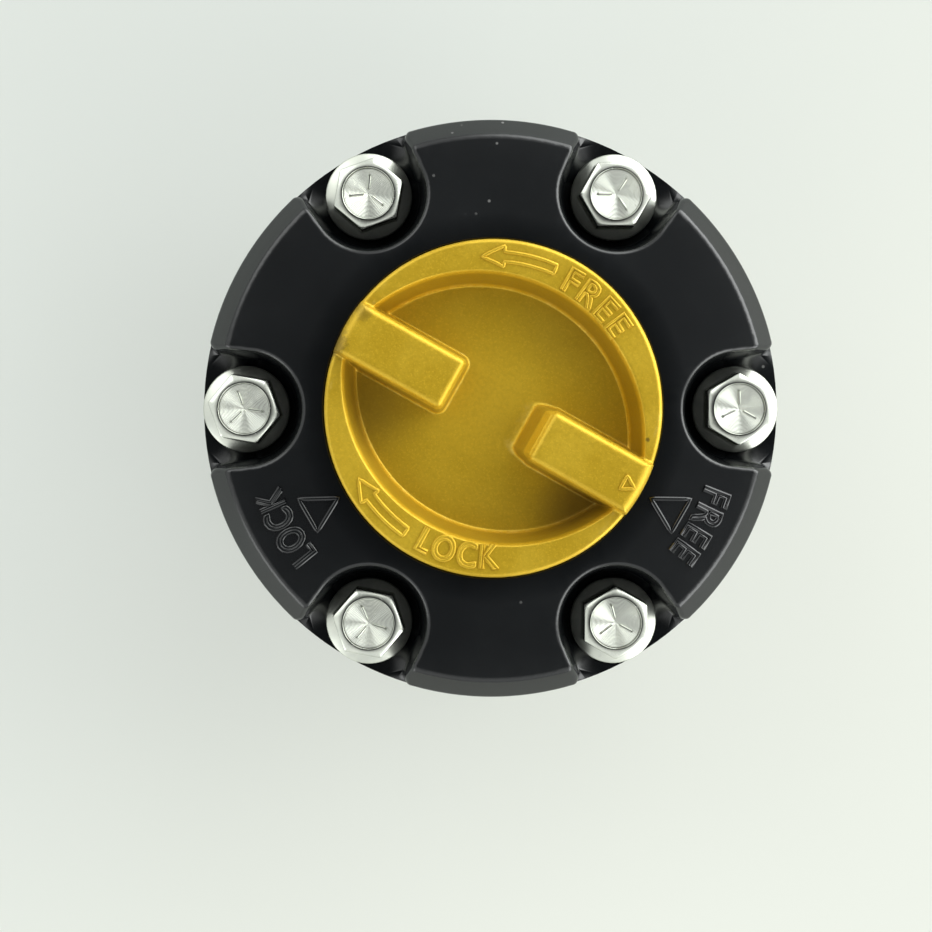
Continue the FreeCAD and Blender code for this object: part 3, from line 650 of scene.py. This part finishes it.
def boltGrid():
    # rings of radius and height from the tip to the middle of the dish, over the hexagon's angles
    angle, hexR = hexOutline()
    flatR, dishR, flangeR, flangeT = bolt["flatR"], bolt["dishR"], bolt["flangeR"], bolt["flangeT"]
    slope = math.tan(math.radians(bolt["chamferSlope"]))
    skirt = math.tan(math.radians(bolt["skirtSlope"]))
    top = bolt["headH"]
    cut = top - (hexR - flatR) * slope
    foot = flangeT + (flangeR - hexR - bolt["headFillet"]) * skirt
    rings = []

    def add(radius, z):
        radius, z = np.broadcast_arrays(radius * np.ones_like(angle), z * np.ones_like(angle))
        rings.append(polar(radius, angle, z))

    low = -bolt["length"]
    tipR = bolt["threadR"] - bolt["threadDepth"] - bolt["tipFlat"]
    add(0.0, low)
    add(tipR, low)
    # thread: a triangle wave of height and turn, cut flat at the crests, faded out at its end
    threadTop = low + bolt["threadLength"]
    for z in np.arange(low + 0.05, threadTop, bolt["pitch"] / bolt["stepsPerTurn"]):
        phase = z / bolt["pitch"] - angle / (2 * np.pi)
        ramp = np.abs((phase % 1.0) * 2 - 1)
        crest = np.clip(ramp * bolt["crestGain"] - bolt["crestCut"], 0, 1)
        fade = min(1.0, (threadTop - z) / (bolt["fadeTurns"] * bolt["pitch"]))
        limit = tipR + (z - low) * bolt["tipSlope"]
        add(np.minimum(bolt["threadR"] - bolt["threadDepth"] * (1 - crest) * fade, limit), z)
    add(bolt["threadR"], threadTop)
    for z in (threadTop + 0.1, -0.6, 0.0):
        add(bolt["shankR"], z)
    for past, z in ((-0.2, 0.0), (-0.05, 0.06), (0.0, 0.2), (0.0, flangeT - 0.25), (-0.07, flangeT - 0.07),
                    (-0.25, flangeT + 0.25 * skirt)):
        add(flangeR + past, z)
    for past, z in ((bolt["headFillet"], foot), (0.12, foot + 0.14), (0.0, foot + 0.4), (0.0, cut - 0.14),
                    (-0.04, cut - 0.03), (-0.16, cut + 0.1)):
        add(hexR + past, z)
    for radius, drop in ((flatR + 0.12, 0.045), (flatR - 0.02, 0.01), (dishR + 0.16, 0.0), (dishR + 0.06, 0.03),
                         (dishR, 0.12), (dishR - 0.1, bolt["dishRim"]), (dishR - 0.25, bolt["dishRim"] + 0.04)):
        add(radius, top - drop)
    # turned rings on the dish: a cosine wave of the radius
    for radius in np.arange(bolt["dishInnerR"], 0.05, -bolt["ringPitch"] / 4):
        add(radius, dishZ(radius) + bolt["ringH"] * math.cos(2 * math.pi * radius / bolt["ringPitch"]))
    add(0.0, dishZ(0.0))
    return np.stack(rings), False, True


def markBead(angle):
    # one raised dash on the dish: a long rounded bead that lies on the cone
    radius = np.linspace(bolt["markFrom"], bolt["markTo"], 7)
    return tube(polar(radius, math.radians(angle), dishZ(radius)), bolt["markR"], False, bolt["markSides"])


def makeBolt(index):
    grid, wrapRows, wrapColumns = boltGrid()
    turn = math.radians(bolt["turns"][index] + 30.0)
    spun = grid.copy()
    spun[..., 0] = grid[..., 0] * math.cos(turn) - grid[..., 1] * math.sin(turn)
    spun[..., 1] = grid[..., 0] * math.sin(turn) + grid[..., 1] * math.cos(turn)
    dashes = [markBead(angle) for angle in bolt["markAngles"][index]]
    centre = polar(hub["boltCircleR"], math.radians(index * 360 / hub["boltCount"]), hub["notchFloorZ"])
    grids = [(points + centre, rows, columns) for points, rows, columns in [(spun, wrapRows, wrapColumns)] + dashes]
    name = "flangeBolt" + str(index + 1)
    mesh = meshOf(name, grids, meshing["boltSharp"])
    return addPiece(name, mesh, "housing", finish["zinc_plate"], ["flange_bolt_" + str(index + 1)])


for index in range(hub["boltCount"]):
    makeBolt(index)
print("bolts made")


# Raised marks

marks = {
    "coverBeadR": 0.50, "knobBeadR": 0.37, "sink": 0.08,
    "coverWordBase": 42.4, "coverWordHeight": 5.2, "knobWordHeight": 4.6,
    "coverWords": [("LOCK", 218.9, 18.6), ("FREE", 339.8, 18.4)],
    "knobFree": {"word": "FREE", "from": 60.5, "span": -30.0, "base": 25.3, "up": 1},
    "knobLock": {"word": "LOCK", "from": 240.5, "span": 31.0, "base": 29.8, "up": -1},
    "coverTriangles": [(210.0, 33.3, 40.0, 5.0), (330.3, 33.9, 40.7, 5.1)],
    "pointer": {"angle": -29.8, "tip": 29.8, "base": 27.5, "half": 1.4},
    "arrows": [(66.0, 94.5), (234.5, 207.5)], "arrowR": (27.2, 29.0), "arrowHeadR": (26.2, 30.1),
    "arrowHeadShare": 0.3, "letterSpacing": 1.12, "curveSteps": 4,
}


def domeZ(radius):
    # height of the cover's low cone at a radius
    share = (radius - hub["domeInnerR"]) / (hub["ridgeR"] - hub["domeInnerR"])
    return hub["domeTopZ"] + (hub["ridgeZ"] - hub["domeTopZ"]) * share


def ringZ(radius):
    return np.full_like(np.asarray(radius, float), hub["knobTopZ"])


def wordGrid(word, height, startAngle, span, base, up, surfaceZ, beadR):
    # outline letters bent round the axis: angle = start + span * x / width, radius = base + up * y
    text = bpy.data.curves.new("word" + word, "FONT")
    text.body = word
    text.fill_mode = "NONE"
    text.space_character = marks["letterSpacing"]
    text.resolution_u = marks["curveSteps"]
    holder = bpy.data.objects.new("word" + word, text)
    bpy.context.scene.collection.objects.link(holder)
    bpy.context.view_layer.update()
    flat = bpy.data.meshes.new_from_object(holder.evaluated_get(bpy.context.evaluated_depsgraph_get()))
    points = np.zeros(len(flat.vertices) * 3)
    flat.vertices.foreach_get("co", points)
    points = points.reshape(-1, 3)
    loops = edgeLoops(flat)
    bpy.data.objects.remove(holder)
    low, high = points.min(axis=0), points.max(axis=0)
    x = (points[:, 0] - low[0]) / (high[0] - low[0])
    y = (points[:, 1] - low[1]) / (high[1] - low[1])
    angle = np.radians(startAngle + span * x)
    radius = base + up * height * y
    placed = polar(radius, angle, surfaceZ(radius) - marks["sink"])
    return [tube(placed[loop], beadR, True) for loop in loops]


def edgeLoops(flat):
    # the closed chains of vertices that a mesh of edges holds
    following = {}
    for edge in flat.edges:
        a, b = edge.vertices
        following.setdefault(a, []).append(b)
        following.setdefault(b, []).append(a)
    seen, loops = set(), []
    for start in sorted(following):
        if start in seen:
            continue
        chain, here = [], start
        while here is not None and here not in seen:
            seen.add(here)
            chain.append(here)
            here = next((other for other in following[here] if other not in seen), None)
        loops.append(chain)
    return loops


def polyline(corners, perSide=6):
    # a closed path through corners given as (radius, angle in degrees), straight in that plane
    corners = np.asarray(corners, float)
    share = np.linspace(0, 1, perSide, endpoint=False)[:, None]
    parts = [a + (b - a) * share for a, b in zip(corners, np.roll(corners, -1, axis=0))]
    return np.concatenate(parts)


def triangleGrid(angle, tipR, baseR, halfAngle, surfaceZ, beadR):
    tip = polar(tipR, math.radians(angle), 0.0)
    ends = [polar(baseR, math.radians(angle + side * halfAngle), 0.0) for side in (-1, 1)]
    path = polyline([tip, ends[0], ends[1]], 8)
    radius = np.hypot(path[:, 0], path[:, 1])
    path[:, 2] = surfaceZ(radius) - marks["sink"]
    return tube(path, beadR, True)


def arrowGrid(tail, head, beadR):
    # an outline arrow that follows the knob's ring from tail to head
    neck = head + (tail - head) * marks["arrowHeadShare"]
    low, high = marks["arrowR"]
    headLow, headHigh = marks["arrowHeadR"]
    corners = [(low, tail), (low, neck), (headLow, neck), ((low + high) / 2, head), (headHigh, neck), (high, neck),
               (high, tail)]
    path = polyline(corners, 6)
    return tube(polar(path[:, 0], np.radians(path[:, 1]), hub["knobTopZ"] - marks["sink"]), beadR, True)


def gripZ(radius):
    # the grip's top, rolled down at its outer end by a quarter circle
    roll = knob["endR"]
    past = np.clip(radius - (hub["knobR"] - roll), 0, roll)
    return hub["gripTopZ"] - (roll - np.sqrt(roll ** 2 - past ** 2))


coverGrids = []
for word, start, span in marks["coverWords"]:
    coverGrids += wordGrid(word, marks["coverWordHeight"], start, -span, marks["coverWordBase"], 1, domeZ,
                           marks["coverBeadR"])
for angle, tipR, baseR, halfAngle in marks["coverTriangles"]:
    coverGrids.append(triangleGrid(angle, tipR, baseR, halfAngle, domeZ, marks["coverBeadR"]))
addPiece("coverMarks", meshOf("coverMarks", coverGrids, meshing["markSharp"]), "housing", finish["mark_paint"])

knobGrids = []
for entry in (marks["knobFree"], marks["knobLock"]):
    knobGrids += wordGrid(entry["word"], marks["knobWordHeight"], entry["from"], entry["span"], entry["base"],
                          entry["up"], ringZ, marks["knobBeadR"])
for tail, head in marks["arrows"]:
    knobGrids.append(arrowGrid(tail, head, marks["knobBeadR"]))
pointer = marks["pointer"]
knobGrids.append(triangleGrid(pointer["angle"], pointer["tip"], pointer["base"],
                              math.degrees(pointer["half"] / pointer["base"]), gripZ, marks["knobBeadR"]))
addPiece("knobMarks", meshOf("knobMarks", knobGrids, meshing["markSharp"]), "knob", finish["gold_paint"])
print("marks made")


# Floor, light and camera

stage = {
    "floorHalf": 1.6, "floorGap": 0.02, "paintedGlowShare": 0.36, "albedo": 0.84, "roughness": 0.8, "specular": 0.1,
    "paintedLightCorners": ((0.825, 0.865, 0.820, 1), (0.930, 0.955, 0.875, 1)),
    "slantStops": (-0.14, 0.14), "slantShare": 0.85, "cloudScale": 14.0, "cloudShare": 0.15,
}


def makeFloor():
    half = stage["floorHalf"] / mm
    side = np.linspace(-half, half, 3)
    x, y = np.meshgrid(side, side)
    points = np.stack([x, y, np.full_like(x, hub["restZ"] - stage["floorGap"])], axis=-1)
    floor = bpy.data.objects.new("floor", meshOf("floor", [(points, False, False)]))
    bpy.context.scene.collection.objects.link(floor)
    paint = Paint("paleFloor", Roughness=stage["roughness"], Specular_IOR_Level=stage["specular"])
    place = paint.place()
    # painted light: the table darker towards the upper left and lighter towards the lower right
    slant = paint.axis(place, "X") - paint.axis(place, "Y")
    share = slant.above(*stage["slantStops"]) * stage["slantShare"]
    share = share + paint.noise(place, stage["cloudScale"], 3.0) * stage["cloudShare"]
    tone = paint.blend(share, *stage["paintedLightCorners"])
    paint.feed(Base_Color=paint.blend(stage["albedo"], (0.0, 0.0, 0.0, 1), tone))
    # painted glow: the table glows with its own colour to the camera, so that its shadow stays soft
    glow = paint.node("ShaderNodeEmission", {}, {"Color": tone})
    toEye = paint.node("ShaderNodeLightPath", {}, {}, "Is Camera Ray")
    surface = Wire(paint, paint.shader.outputs["BSDF"])
    mixed = paint.node("ShaderNodeMixShader", {}, {0: toEye * stage["paintedGlowShare"], 1: surface, 2: glow})
    paint.tree.links.new(mixed.socket, paint.tree.nodes["Material Output"].inputs["Surface"])
    floor.data.materials.append(paint.material)


room = {
    "colour": (0.975, 1.0, 0.985, 1), "strength": 1.32,
    "zenith": 0.025, "zenithFrom": 0.62, "zenithTo": 0.95,
    "base": 0.80, "horizon": 0.50, "horizonTo": 0.34,
    "windows": (
        {"toward": (0.92, 0.36, 0.14), "from": 0.80, "to": 0.97, "power": 3.6},
        {"toward": (0.40, 0.85, 0.22), "from": 0.86, "to": 0.98, "power": 2.3},
        {"toward": (-0.62, 0.62, 0.48), "from": 0.90, "to": 0.98, "power": 1.0},
        {"toward": (0.74, -0.60, 0.20), "from": 0.86, "to": 0.98, "power": 2.6},
        {"toward": (-0.72, -0.60, 0.10), "from": 0.93, "to": 0.99, "power": 1.6},
    ),
}


def makeRoom():
    # a pale room seen by direction: dark straight above, where the photographer leans over, and bright windows
    world = bpy.data.worlds.new("room")
    bpy.context.scene.world = world
    world.use_nodes = True
    sky = Nodes(world.node_tree)
    way = sky.node("ShaderNodeTexCoord", {}, {}, "Generated")
    height = sky.axis(way, "Z")
    light = room["horizon"] + height.above(0.0, room["horizonTo"]) * (room["base"] - room["horizon"])
    for window in room["windows"]:
        toward = tuple(Vector(window["toward"]).normalized())
        facing = sky.node("ShaderNodeVectorMath", {"operation": "DOT_PRODUCT"}, [way, toward], "Value")
        light = light + facing.above(window["from"], window["to"]) * window["power"]
    light = light * (1.0 - height.above(room["zenithFrom"], room["zenithTo"]) * (1.0 - room["zenith"]))
    background = world.node_tree.nodes["Background"]
    background.inputs["Color"].default_value = room["colour"]
    world.node_tree.links.new((light * room["strength"]).socket, background.inputs["Strength"])


camera = {"at": (-13.2, -4.6, 407.5), "lookAt": (-4.83, -10.9, 17.5), "focalPixels": 2032.0, "framePixels": 932.0,
          "sensor": 36.0, "clipStart": 0.01}


def makeCamera():
    data = bpy.data.cameras.new("camera")
    data.sensor_width = camera["sensor"]
    data.lens = camera["sensor"] * camera["focalPixels"] / camera["framePixels"]
    data.clip_start = camera["clipStart"]
    holder = bpy.data.objects.new("camera", data)
    bpy.context.scene.collection.objects.link(holder)
    place = Vector(camera["at"]) * mm
    aim = (Vector(camera["lookAt"]) * mm - place).normalized()
    right = aim.cross(Vector((0, 1, 0))).normalized()
    up = right.cross(aim)
    turn = Matrix((right, up, -aim)).transposed().to_4x4()
    holder.matrix_world = Matrix.Translation(place) @ turn
    bpy.context.scene.camera = holder


makeFloor()
makeRoom()
makeCamera()
bpy.context.scene.view_settings.view_transform = "Standard"
print("stage made")
